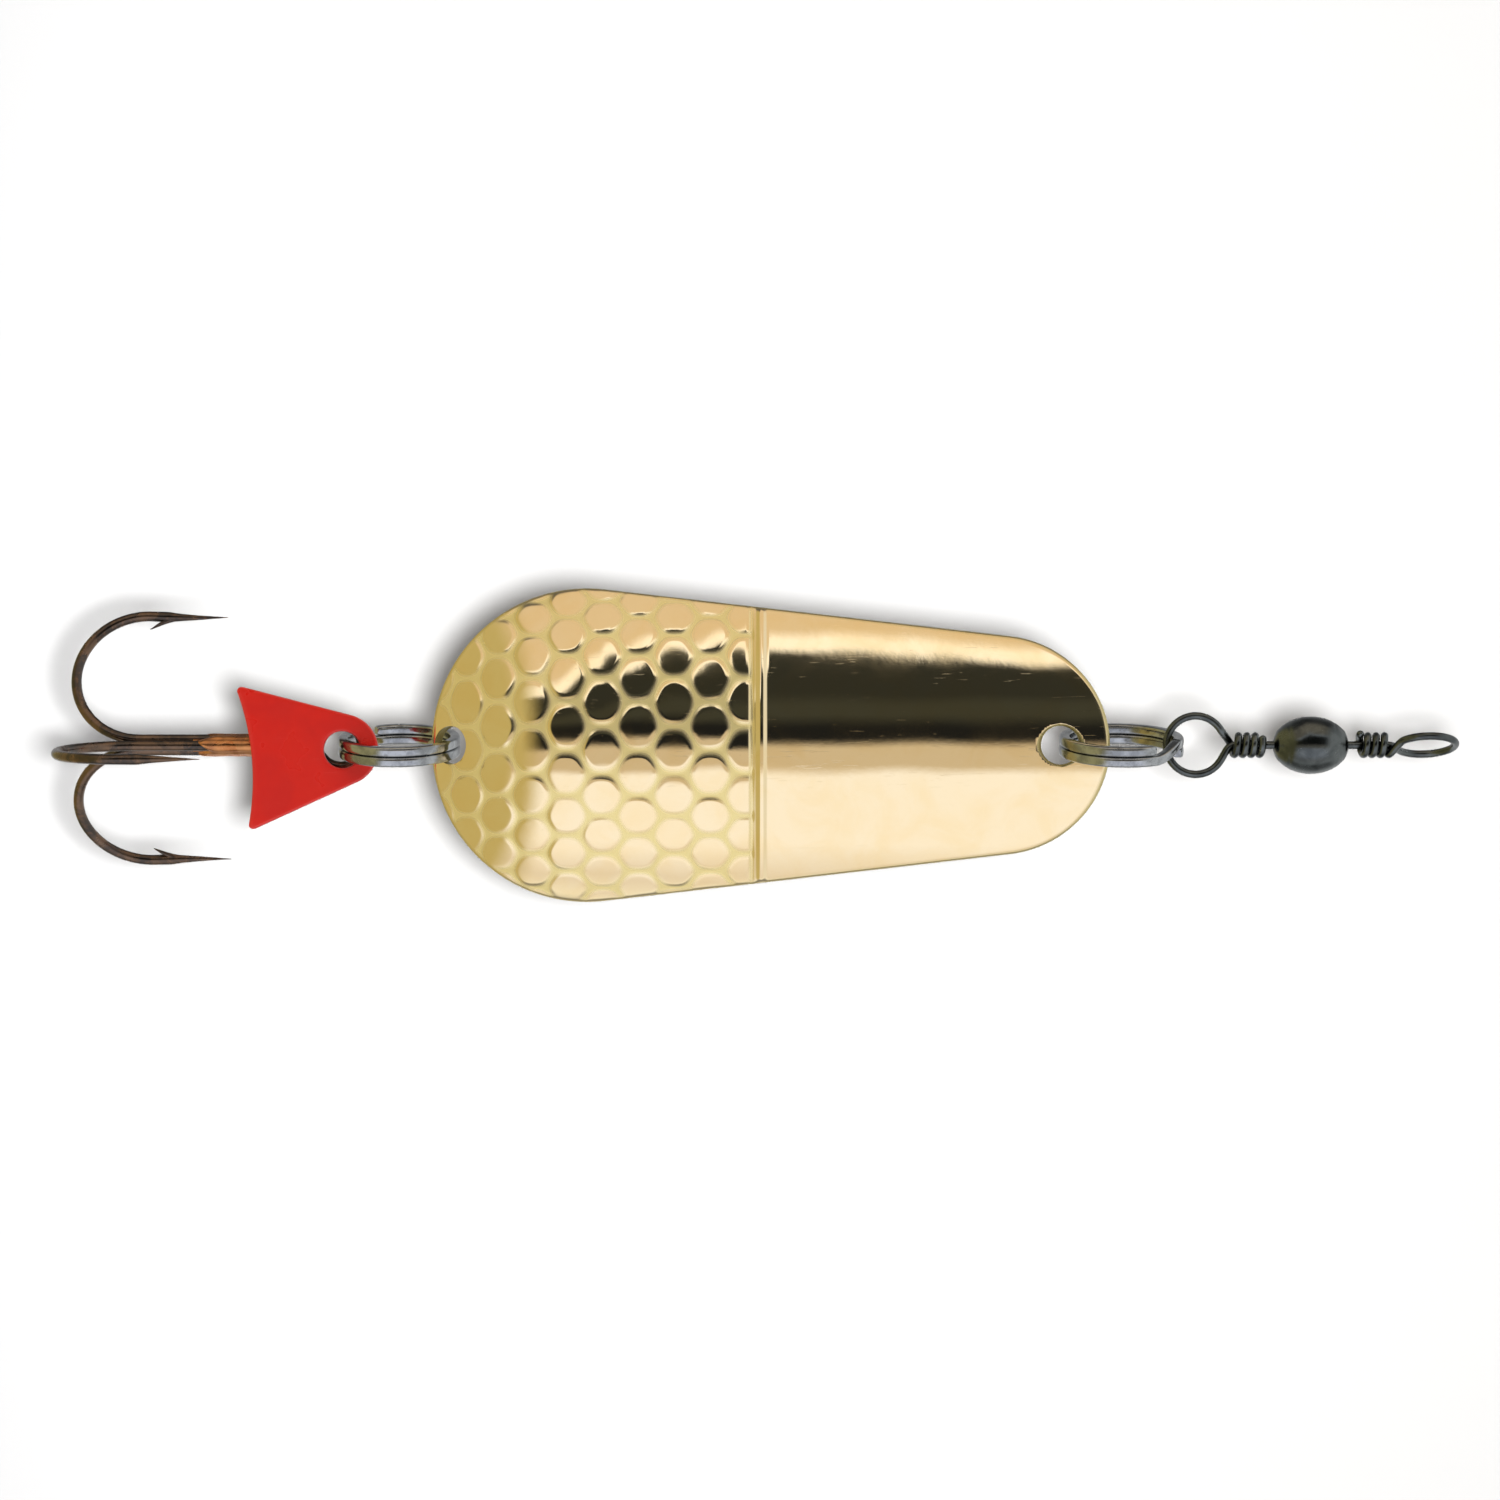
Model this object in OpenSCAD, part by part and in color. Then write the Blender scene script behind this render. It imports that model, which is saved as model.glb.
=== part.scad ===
// Spoon lure: a dished blade with a split ring at each end, a barrel swivel, a plastic
// flag and a brazed treble hook. It hangs from its line tie, along -Z.
// Origin: centre of the line tie's loop. +Z up along the lure, the blade's convex face
// looks along -Y, and the blade's width runs along X.

/* [Blade] */
// Length of the blade from nose to tail
blade_len = 60.7; // [54:0.1:70]
// Radius of the outline at the nose
nose_r = 9.8; // [8:0.1:11]
// Radius of the outline at the tail
tail_r = 14.1; // [12:0.1:16]
// Thickness of the sheet
blade_t = 1.4; // [1:0.1:1.6]
// Radius of the curve across the blade
cross_r = 22; // [20:1:40]
// Radius of the curve along the tail
cup_r = 26; // [22:1:34]
// Length of the tail that is curved
cup_len = 16; // [12:1:18]
// Radius of the hole at each end
hole_r = 1.7; // [1.6:0.05:1.9]
// From the nose to the centre of its hole
nose_hole_in = 4.4; // [4.2:0.1:4.6]
// From the tail to the centre of its hole
tail_hole_in = 2.25; // [2.1:0.05:2.4]

/* [Split rings] */
// Outside diameter of a split ring
ring_od = 11; // [10.6:0.1:11.4]
// Thickness of the ring's wire across the ring
ring_wire = 0.95; // [0.8:0.05:1.0]
// Thickness of one coil along the ring's axis
coil_t = 0.9; // [0.8:0.01:0.92]
// Turn of the rings about the lure's long axis
ring_yaw = 12; // [0:1:12]

/* [Swivel] */
// Radius of the eye loops, to the wire's centre
eye_r = 2.6; // [2.4:0.05:2.7]
// Radius of the swivel's wire
eye_wire_r = 0.34; // [0.3:0.01:0.36]
// From one eye's centre to the other's
eye_gap = 20.4; // [20:0.1:22]
// Length of the barrel
barrel_len = 6.6; // [6.2:0.1:7]
// Diameter of the barrel
barrel_d = 5.1; // [4.6:0.1:5.6]
// Turn of the line tie's loop about the long axis
tie_yaw = 72; // [0:1:90]

/* [Hook] */
// Radius of the hook's wire
hook_wire_r = 0.465; // [0.4:0.005:0.48]
// Radius of the bend, to the wire's centre
bend_r = 6.2; // [5.6:0.1:6.6]
// From the eye's centre to the bottom of the bend
hook_len = 24.2; // [22:0.1:26]
// Length of the point above the bend's centre
point_len = 7.2; // [6:0.1:8]
// Radius inside the hook's eye
hook_eye_r = 1.5; // [1.45:0.05:1.7]
// Turn of the hook about its shank
hook_yaw = 5.5; // [0:0.5:8]

/* [Flag] */
// From the hole to the flag's wide end
flag_len = 8.9; // [7:0.1:11]
// Half the width of the wide end
flag_half_w = 6.4; // [5:0.1:7]
// Radius of the round end
flag_round = 3.2; // [2.8:0.1:3.4]
// Radius of the flag's hole
flag_hole_r = 1.65; // [1.6:0.05:1.8]
// Thickness of the plastic
flag_t = 0.8; // [0.5:0.1:0.9]
// Lean of the flag on its ring
flag_lean = 5; // [0:1:8]

/* [Hidden] */

wire_sides = 10;         // sides of a round wire's section
ring_sides = 12;         // sides of a ring wire's section
play = 0.22;             // slack left between linked loops
nose_slack = 0.4;        // how far behind its middle the nose ring's wire sits in the hole
tail_drop = 5.03;        // how far below the tail hole its ring's centre hangs
eye_drop = 0.35;         // how far below the ring's wire the hook's eye hangs
flag_drop = 0.28;        // how far below the ring's wire the flag's hole hangs
fine = 96;               // facets of a full circle on the true round faces

// places along the lure
ring_mid_r = (ring_od - ring_wire) / 2;
rear_eye_z = -eye_gap;
nose_ring_z = rear_eye_z - eye_r + eye_wire_r + play - ring_mid_r + ring_wire / 2;
nose_hole_z = nose_ring_z - ring_mid_r - nose_slack;
nose_z = nose_hole_z + nose_hole_in;
tail_z = nose_z - blade_len;
tail_hole_z = tail_z + tail_hole_in;
tail_ring_y = 5.6;
tail_ring_z = tail_hole_z - tail_drop;
link_z = tail_ring_z - ring_mid_r;
hook_eye_z = link_z - eye_drop;
flag_ahead = 1.9;         // how far in front of the hook the flag hangs
barrel_z = -eye_gap / 2;

// ---- helpers ----

function unit(v) = v / norm(v);
function smooth(t) = t * t * (3 - 2 * t);
function last(v) = v[len(v) - 1];
function reversed(v) = [for (i = [len(v) - 1:-1:0]) v[i]];

// Direction of the path at each of its points
function headings(path) = [for (i = [0:len(path) - 1])
    unit(path[min(i + 1, len(path) - 1)] - path[max(i - 1, 0)])];

// One side vector per point, carried along the path without twist
function sides(t, first) = [for (i = 0, u = unit(first - (first * t[0]) * t[0]); i < len(t);
    i = i + 1, u = i < len(t) ? unit(u - (u * t[i]) * t[i]) : u) u];

// Closed skin over loops of n points each. Both ends are closed with a strip.
module skin(loops) {
    n = len(loops[0]);
    rows = len(loops);
    top = (rows - 1) * n;
    walls = [for (r = [0:rows - 2], i = [0:n - 1], half = [0, 1])
        let (a = r * n + i, b = r * n + (i + 1) % n)
        half == 0 ? [a, b, a + n] : [b, b + n, a + n]];
    low = [for (i = [0:n / 2 - 2], half = [0, 1])
        half == 0 ? [i, n - 1 - i, i + 1] : [i + 1, n - 1 - i, n - 2 - i]];
    high = [for (f = low) [top + f[0], top + f[2], top + f[1]]];
    polyhedron([for (l = loops, p = l) p], concat(walls, low, high), convexity = 8);
}

// Round wire along a path. radii holds one radius, or one for each point.
module wire(path, radii, first = [0, 1, 0], n = wire_sides) {
    t = headings(path);
    u = sides(t, first);
    skin([for (i = [0:len(path) - 1])
        let (v = cross(t[i], u[i]), r = is_list(radii) ? radii[i] : radii)
        [for (k = [0:n - 1]) let (a = -360 * (k + 0.5) / n)
            path[i] + r * (cos(a) * u[i] + sin(a) * v)]]);
}

// Points on an arc about c, in the plane of e1 and e2
function arc(c, r, from, to, steps, e1 = [1, 0, 0], e2 = [0, 0, 1]) = [for (i = [0:steps])
    let (a = from + (to - from) * i / steps) c + r * (cos(a) * e1 + sin(a) * e2)];

// ---- blade ----

// Half the outline's width at a distance s from the nose: two end circles and their tangents
lean_in = asin((tail_r - nose_r) / (blade_len - tail_r - nose_r));
function half_width(s) =
    let (a = nose_r * (1 - sin(lean_in)), b = blade_len - tail_r * (1 + sin(lean_in)))
    s < a ? sqrt(max(0, nose_r * nose_r - (nose_r - s) * (nose_r - s)))
    : s > b ? sqrt(max(0, tail_r * tail_r - (s - blade_len + tail_r) * (s - blade_len + tail_r)))
    : (nose_r + (s - nose_r) * sin(lean_in)) / cos(lean_in);

// How far into the tail's curve a distance s from the nose is
function cup_in(s) = max(0, s - blade_len + cup_len);
function cup_slope(s) = asin(cup_in(s) / cup_r);

// Place on the front face, and the direction into the sheet there
function face_y(x, s) = cross_r - sqrt(cross_r * cross_r - x * x)
    + cup_r - sqrt(cup_r * cup_r - cup_in(s) * cup_in(s)) - blade_t / 2;
function into(x, s) = unit([-x / sqrt(cross_r * cross_r - x * x), 1, tan(cup_slope(s))]);

module blade_sheet() {
    rows = 44;
    cols = 14;
    end_cut = 0.03;
    skin([for (i = [0:rows])
        let (s = end_cut + (blade_len - 2 * end_cut) * (1 - cos(180 * i / rows)) / 2, w = half_width(s))
        let (face = [for (k = [0:cols]) let (x = w * sin(90 * (2 * k / cols - 1)))
            [x, face_y(x, s), nose_z - s]],
            back = [for (k = [0:cols]) let (x = w * sin(90 * (2 * k / cols - 1)))
            [x, face_y(x, s), nose_z - s] + blade_t * into(x, s)])
        concat(face, reversed(back))]);
}

module spoon_blade() {
    s = blade_len - tail_hole_in;
    color("gold") difference() {
        blade_sheet();
        translate([0, 0, nose_hole_z]) rotate([90, 0, 0])
            cylinder(r = hole_r, h = 4 * blade_t, center = true, $fn = fine);
        translate([0, face_y(0, s) + blade_t / 2, tail_hole_z]) rotate([90 + cup_slope(s), 0, 0])
            cylinder(r = hole_r, h = 4 * blade_t, center = true, $fn = fine);
    }
}

// ---- split rings ----

// Two flat coils that cross over in one short step, turned about the long axis
module split_ring(y, z, start) {
    step = 8;
    jog = 40;
    gap = 4;
    pitch = coil_t + 0.02;
    total = 720 - jog - gap;
    count = floor(total / step);
    loops = [for (i = [0:count])
        let (a = total * i / count, t = min(1, max(0, (a - 360 + jog) / jog)),
            x = pitch * (smooth(t) - 0.5), out = [0, cos(a + start), sin(a + start)])
        [for (k = [0:ring_sides - 1])
            let (b = 360 * (k + 0.5) / ring_sides)
            let (round_off = 1 / pow(pow(abs(cos(b)), 4) + pow(abs(sin(b)), 4), 0.25))
            (ring_mid_r + ring_wire / 2 * cos(b) * round_off) * out
            + [x + coil_t / 2 * sin(b) * round_off, 0, 0]]];
    translate([0, y, z]) rotate([0, 0, ring_yaw]) skin(loops);
}

module nose_split_ring() {
    color("silver") split_ring(0, nose_ring_z, 150);
}

module tail_split_ring() {
    color("silver") split_ring(tail_ring_y, tail_ring_z, 330);
}

// ---- swivel ----

neck_angle = 60;                          // how far the loop closes below its middle
neck_z = eye_r / sin(neck_angle);         // where its two sides meet, below its centre
wrap_r = 2 * eye_wire_r + 0.16;           // radius of the wraps' centre line
wrap_turns = 3.5;
wrap_pitch = 0.74;
stem_r = eye_wire_r + 0.01;
head_r = 0.95;
head_h = 0.8;
bore_r = stem_r + 0.05;
cavity_r = 1.35;
cavity_half = 2.1;
elbow = [[0, -1.25], [0, -0.25], [0.1, -0.03], [0.32, 0.19]];   // stem's top, from the neck
cross_x = -0.25;                          // where the wire passes in front of the neck
cross_sag = 0.28;                         // how far it bows out on the way there
wrap_top = 0.25;                          // from the neck down to the first wrap
wrap_steps = 63;
tail_end = 0.55;                          // loose end of the wire after the last wrap

// Wire of one eye, from its stem's top, round the loop and down the wraps
function eye_path() =
    let (bend = [for (e = elbow) [e[0], 0, e[1] - neck_z]])
    let (loop = arc([0, 0, 0], eye_r, -neck_angle, 180 + neck_angle, 28))
    let (from = last(loop), to = [cross_x, -wrap_r, -neck_z - wrap_top / 2])
    let (over = [for (t = [0.25:0.25:0.75]) from + (to - from) * t
        + [0, cross_sag * t * (1 - t), 0]])
    let (wraps = [for (i = [0:wrap_steps]) let (a = 360 * wrap_turns * i / wrap_steps)
        [wrap_r * sin(a), -wrap_r * cos(a), -neck_z - wrap_top - wrap_pitch * a / 360]])
    let (off = [cos(360 * wrap_turns), sin(360 * wrap_turns), 0])
    concat(bend, loop, over, wraps, [last(wraps) + tail_end * off]);

// One eye of the swivel, its loop's centre at the origin and its stem along -Z
module swivel_eye() {
    wire(eye_path(), eye_wire_r);
    head_gap = 0.1;
    stem_end = -eye_gap / 2 + cavity_half - head_gap - head_h;
    stem_top = -neck_z - 0.6;
    translate([0, 0, stem_end]) cylinder(r = stem_r, h = stem_top - stem_end, $fn = fine);
    translate([0, 0, stem_end]) cylinder(r = head_r, h = head_h, $fn = fine);
}

module swivel_front_eye() {
    land_cut = 0.03;
    land_r = eye_r - eye_wire_r + land_cut;
    color("dimgray") rotate([0, 0, tie_yaw]) difference() {
        swivel_eye();
        rotate([90, 0, 0]) cylinder(r = land_r, h = 4 * eye_wire_r, center = true, $fn = fine);
    }
}

module swivel_rear_eye() {
    color("dimgray") translate([0, 0, rear_eye_z]) rotate([180, 0, 0]) swivel_eye();
}

module swivel_barrel() {
    half = barrel_len / 2;
    open = 82;
    skin_line = [for (a = [-open:open / 10:open]) [barrel_d / 2 * cos(a), half * sin(a) / sin(open)]];
    color("black") translate([0, 0, barrel_z]) difference() {
        rotate_extrude($fn = fine) polygon(concat([[0, -half]], skin_line, [[0, half]]));
        cylinder(r = cavity_r, h = 2 * cavity_half, center = true, $fn = fine);
        cylinder(r = bore_r, h = 2 * half + 1, center = true, $fn = fine);
    }
}

// ---- treble hook ----

shank_off = hook_wire_r * 2 / sqrt(3) + 0.025;    // from the shank's axis to each wire
eye_mid_r = hook_eye_r + hook_wire_r;
shoulder_r = 0.7;                                  // where the eye turns into the shank
bend_z = -hook_len + bend_r;
point_in = 3;                                      // how far the bend runs past half a turn
point_taper = [[0.2, 1], [0.4, 0.86], [0.6, 0.68], [0.8, 0.44], [1, 0.1]];
bend_steps = 20;

// One prong in its radial plane: down the shank from z = top, round the bend, up to the point
function prong(top, way) =
    let (c = [shank_off + bend_r, bend_z])
    let (bend = [for (i = [0:bend_steps]) let (a = 180 + (180 + point_in) * i / bend_steps)
        c + bend_r * [cos(a), sin(a)]])
    let (from = last(bend), rise = point_len - bend_r * sin(point_in))
    let (tip = [for (p = point_taper) let (t = p[0])
        from + [-rise * t * sin(point_in) * (1 - 0.75 * t), rise * t]])
    [for (p = concat([[shank_off, top]], bend, tip)) [p[0] * way[0], p[0] * way[1], p[1]]];

// Radius at each point of a prong: it thins along the point
function prong_radii() = concat([for (i = [0:bend_steps + 1]) hook_wire_r],
    [for (p = point_taper) hook_wire_r * p[1]]);

// The barb: a thin sliver that stands off the inner side of the point's foot
barb_len = 2.1;
barb_lean = 34;
barb_z = 1.9;             // from the bend's centre up to the barb's root
barb_in = 0.2;            // from the point's axis in to the barb's root
barb_root_r = 0.28;
barb_tip_r = 0.05;
module barb(way) {
    turn = atan2(way[1], way[0]);
    rotate([0, 0, turn]) translate([shank_off + 2 * bend_r - barb_in, 0, bend_z + barb_z])
        rotate([0, 180 + barb_lean, 0])
            cylinder(r1 = barb_root_r, r2 = barb_tip_r, h = barb_len, $fn = 16);
}

// Directions of the prongs: two behind, made from one wire, and one in front
back_right = [cos(30), sin(30)];
back_left = [-cos(30), sin(30)];
front = [0, -1];

module hook_frame() {
    translate([0, tail_ring_y, hook_eye_z]) rotate([0, 0, hook_yaw]) children();
}

single_top = 1.6;         // from the foot of the eye down to the top of the third wire
braze_top = 2.2;          // from the foot of the eye down to the top of the braze
braze_len = 9;
braze_r = 1.1;

module hook_double_wire() {
    shank_top = 0.8;
    y = shank_off * back_right[1];
    x = shank_off * back_right[0];
    sx = x + shoulder_r;
    sz = -sqrt(pow(eye_mid_r + shoulder_r, 2) - sx * sx);
    meet = atan2(-sz, sx);
    right = arc([sx, y, sz], shoulder_r, 180, 180 - meet, 4);
    loop = arc([0, y, 0], eye_mid_r, -meet, 180 + meet, 26);
    left = reversed([for (p = right) [-p[0], p[1], p[2]]]);
    inner = [for (i = [1:len(loop) - 2]) loop[i]];
    path = concat(reversed(prong(sz - shank_top, back_right)), right, inner, left,
        prong(sz - shank_top, back_left));
    radii = concat(reversed(prong_radii()), [for (p = concat(right, inner, left)) hook_wire_r],
        prong_radii());
    color("saddlebrown") hook_frame() {
        wire(path, radii);
        barb(back_right);
        barb(back_left);
    }
}

module hook_single_wire() {
    color("saddlebrown") hook_frame() {
        wire(prong(-eye_mid_r - single_top, front), prong_radii());
        barb(front);
    }
}

module hook_braze() {
    top = -eye_mid_r - braze_top;
    low = top - braze_len;
    line = [for (t = [0:0.125:1]) [braze_r / 2 * (1 + sqrt(sin(10 + 160 * t))), low + braze_len * t]];
    color("peru") hook_frame() rotate_extrude($fn = fine)
        polygon(concat([[0, low]], line, [[0, top]]));
}

// ---- flag ----

// Outline in its own plane, the hole at the origin and the wide end along -v
function flag_outline() =
    let (nick = 0.4, deep = 0.9, reach = norm([flag_len, flag_half_w]))
    let (edge = atan2(flag_half_w, flag_len) - asin((flag_round - nick) / reach))
    let (cut_r = (flag_half_w * flag_half_w + deep * deep) / (2 * deep))
    let (sweep_in = asin((flag_half_w - nick) / cut_r))
    let (end = [for (a = [180 - edge:-12:edge]) flag_round * [cos(a), sin(a)]])
    let (corner = [flag_half_w - nick, nick - flag_len])
    let (right = [for (a = [edge:-30:-90]) corner + nick * [cos(a), sin(a)]])
    let (hollow = [for (a = [sweep_in:-sweep_in / 6:-sweep_in])
        [cut_r * sin(a), cut_r * (cos(a) - cos(sweep_in)) - flag_len]])
    let (left = [for (p = reversed(right)) [-p[0], p[1]]])
    concat(end, right, hollow, left);

module tail_flag() {
    y = tail_ring_y - flag_ahead;
    rise = ring_mid_r - sqrt(ring_mid_r * ring_mid_r - flag_ahead * flag_ahead);
    x = flag_ahead * tan(ring_yaw);
    color("crimson") translate([x, y, link_z + rise - flag_drop]) rotate([90, -flag_lean, 0])
        linear_extrude(height = flag_t, center = true) difference() {
            polygon(flag_outline());
            circle(r = flag_hole_r, $fn = fine);
        }
}

spoon_blade();
nose_split_ring();
tail_split_ring();
tail_flag();
hook_double_wire();
hook_single_wire();
hook_braze();
swivel_barrel();
swivel_front_eye();
swivel_rear_eye();
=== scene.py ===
import math

import bmesh
import bpy
import numpy as np
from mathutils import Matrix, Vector, noise


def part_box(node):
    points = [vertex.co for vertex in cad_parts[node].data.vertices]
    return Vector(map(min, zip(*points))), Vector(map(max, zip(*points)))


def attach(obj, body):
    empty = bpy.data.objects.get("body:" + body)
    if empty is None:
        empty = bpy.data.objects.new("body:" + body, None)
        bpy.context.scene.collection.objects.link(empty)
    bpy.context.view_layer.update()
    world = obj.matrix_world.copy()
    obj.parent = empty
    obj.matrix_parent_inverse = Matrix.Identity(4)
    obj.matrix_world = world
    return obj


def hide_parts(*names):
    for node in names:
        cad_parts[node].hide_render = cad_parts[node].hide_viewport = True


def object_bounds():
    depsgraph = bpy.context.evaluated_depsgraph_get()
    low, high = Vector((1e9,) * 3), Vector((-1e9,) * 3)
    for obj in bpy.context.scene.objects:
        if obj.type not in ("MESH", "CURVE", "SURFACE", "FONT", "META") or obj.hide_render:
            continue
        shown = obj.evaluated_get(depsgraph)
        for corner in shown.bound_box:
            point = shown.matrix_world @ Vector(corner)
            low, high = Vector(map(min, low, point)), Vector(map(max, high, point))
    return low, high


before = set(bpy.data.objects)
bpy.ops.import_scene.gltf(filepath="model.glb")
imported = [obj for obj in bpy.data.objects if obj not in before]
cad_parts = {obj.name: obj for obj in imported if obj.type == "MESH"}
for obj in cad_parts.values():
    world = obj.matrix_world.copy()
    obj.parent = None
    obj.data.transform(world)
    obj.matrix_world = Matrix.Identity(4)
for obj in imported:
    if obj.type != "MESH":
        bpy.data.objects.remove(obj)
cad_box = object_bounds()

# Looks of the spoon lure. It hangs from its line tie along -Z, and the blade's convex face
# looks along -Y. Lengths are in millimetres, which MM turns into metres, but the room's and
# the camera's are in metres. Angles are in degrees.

MM = 0.001
MICRON = 1e-6
X_AXIS = (1, 0, 0)
Y_AXIS = (0, 1, 0)
Z_AXIS = (0, 0, 1)
SHARP_ANGLE = 50            # faces that meet at a greater angle keep a sharp edge
SAME_PLACE = 1e-8           # metres between points that become one

# Blade: the same driving sizes as its CAD node
NOSE_R = 9.8
TAIL_R = 14.1
BLADE_LEN = 60.7
BLADE_T = 1.4
CROSS_R = 22.0
CUP_R = 26.0
CUP_LEN = 16.0
HOLE_R = 1.7
NOSE_HOLE_IN = 4.4
TAIL_HOLE_IN = 2.25
EDGE_ROUND = 0.45           # rounding of the sheet's edge
EDGE_LEAN = 1.014           # widening that makes up for the rounded edge's inward lean
NOSE_PAST = 0.03            # the same at the nose: how far the outline starts past the CAD's
RIM_BAND = 0.65             # strip along the outline where the points are closer together
RIM_WIDE = 0.55             # how far in from the edge the plating is duller and painted a darker olive, a painted reflection of shade
NOSE_FLARE = 0.45           # rounding of the nose hole's rims
TAIL_FLARE = 0.3            # rounding of the tail hole's rims

# Stamped pattern of the blade's tail half
BEAD_AT = 30.85             # from the nose to the bead that ends the pattern
BEAD_HALF = 0.62
BEAD_HIGH = 0.2
STEP_AT = 0.28              # from the bead's foot to the narrow groove beside it
STEP_HALF = 0.22
STEP_DEEP = 0.12
STEP_MARK = 0.8             # how much its colour is a groove's
PAD_STEP = 3.2              # between columns of pads, along the blade
PAD_PITCH = 4.15            # between pads in a column, at the crown
PAD_SHIFT = 0.51            # how far the stamping sits off the blade's middle line
PAD_SKEW = 0.0165           # how the pads close up towards one side
PAD_CROWDING = 0.0018       # how they close up at the other edge
FIRST_COLUMN = 1.35         # from the bead to the first column
PAD_SQUARE = 6              # how sharp the pads' corners are
PAD_DOME = 0.03             # how far each pad is crowned
PAD_TILT = 0.022            # how far single pads lean, as a slope
PAD_FADE = 0.45             # from the bead's foot to full depth
GROOVE_DEEP = 0.068
GROOVE_HALF = 0.54
EDGE_FADE = 0.7             # from the outline to full depth
BACK_RELIEF = 0.65          # how much of the stamping shows on the back

# Split rings
RING_OD = 11.0
RING_WIRE = 0.95
COIL_T = 0.9
COIL_GAP = 0.02             # between the two coils
RING_YAW = 12.0
WIRE_LENGTH = 676.0         # degrees of wire in a ring
CROSSING = 40.0             # degrees over which it steps from one coil to the other
WIRE_SQUARE = 4             # how square the wire is: 2 would be round

# Swivel
EYE_R = 2.6
EYE_WIRE_R = 0.34
TIE_YAW = 72.0
NECK_ANGLE = 60.0           # where the loop ends, below its middle
WRAP_R = 2 * EYE_WIRE_R + 0.16
WRAP_TURNS = 3.5
WRAP_PITCH = 0.74
WRAP_TOP = 0.25             # from the neck down to the first wrap
BARREL_BORE_R = 0.4

# Hook
HOOK_WIRE_R = 0.465
BEND_R = 6.2
HOOK_LEN = 24.2
POINT_LEN = 7.2
POINT_LEAN = 3.0            # how far the points lean in
HOOK_EYE_R = 1.5
HOOK_YAW = 5.5
THIRD_DOWN = 1.6            # from the eye's wire down to the third wire's end
BRAZE_DOWN = 2.2            # and down to the braze
BRAZE_LEN = 9.0
BRAZE_R = 1.1

# Flag
FLAG_LEN = 8.9
FLAG_HALF_W = 6.4
FLAG_ROUND = 3.2
FLAG_HOLE_R = 1.65
FLAG_T = 0.8
FLAG_LEAN = 5.0
FLAG_AHEAD = 1.9
FLAG_LIP = 0.16             # rounding of its edges
FLAG_BOW = 0.006            # bow of its foot: depth is this times the square of the length
BOW_FROM = 3.0              # from the hole's middle to where the bow starts


# ---- helpers for shapes ----

def box_mm(node):
    """Lowest and highest corners of a CAD node, in millimetres."""
    low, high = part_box(node)
    return np.array(low) / MM, np.array(high) / MM


def centre_mm(node):
    low, high = box_mm(node)
    return (low + high) / 2


def rad(degrees):
    return math.radians(degrees)


def turn_x(points, degrees):
    """Points turned about the X axis."""
    c, s = math.cos(rad(degrees)), math.sin(rad(degrees))
    p = np.asarray(points, float)
    return np.stack([p[:, 0], c * p[:, 1] - s * p[:, 2], s * p[:, 1] + c * p[:, 2]], 1)


def turn_y(points, degrees):
    """Points turned about the Y axis."""
    c, s = math.cos(rad(degrees)), math.sin(rad(degrees))
    p = np.asarray(points, float)
    return np.stack([c * p[:, 0] + s * p[:, 2], p[:, 1], c * p[:, 2] - s * p[:, 0]], 1)


def turn_z(points, degrees):
    """Points turned about the Z axis."""
    c, s = math.cos(rad(degrees)), math.sin(rad(degrees))
    p = np.asarray(points, float)
    return np.stack([c * p[:, 0] - s * p[:, 1], s * p[:, 0] + c * p[:, 1], p[:, 2]], 1)


def smooth(t):
    """0 to 1 with soft ends."""
    t = np.clip(t, 0, 1)
    return t * t * (3 - 2 * t)


def hump(at, middle, half):
    """A soft bump of height 1 round a middle."""
    return np.exp(-((at - middle) / half) ** 2)


def unit(v):
    return v / np.maximum(np.linalg.norm(v, axis=-1, keepdims=True), 1e-12)


def arc(centre, radius, start, end, steps, e1, e2):
    """Points on an arc in the plane of e1 and e2."""
    a = np.radians(np.linspace(start, end, steps + 1))[:, None]
    return np.asarray(centre) + radius * (np.cos(a) * np.asarray(e1) + np.sin(a) * np.asarray(e2))


def resample(path, step):
    """The same line with points an even step apart."""
    path = np.asarray(path, float)
    along = np.concatenate([[0], np.cumsum(np.linalg.norm(np.diff(path, axis=0), axis=1))])
    count = max(8, int(along[-1] / step))
    at = np.linspace(0, along[-1], count)
    return np.stack([np.interp(at, along, path[:, k]) for k in range(3)], 1)


def soften(path, passes):
    """Takes the corners off a line, with its two ends left in place."""
    p = np.array(path)
    for _ in range(passes):
        p[1:-1] = 0.5 * p[1:-1] + 0.25 * (p[:-2] + p[2:])
    return p


def grid_faces(rows, cols, start=0, closed=True):
    """Quads between rows of points, each row a loop if closed."""
    last = cols if closed else cols - 1
    return [(start + r * cols + c, start + r * cols + (c + 1) % cols,
             start + (r + 1) * cols + (c + 1) % cols, start + (r + 1) * cols + c)
            for r in range(rows - 1) for c in range(last)]


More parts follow.
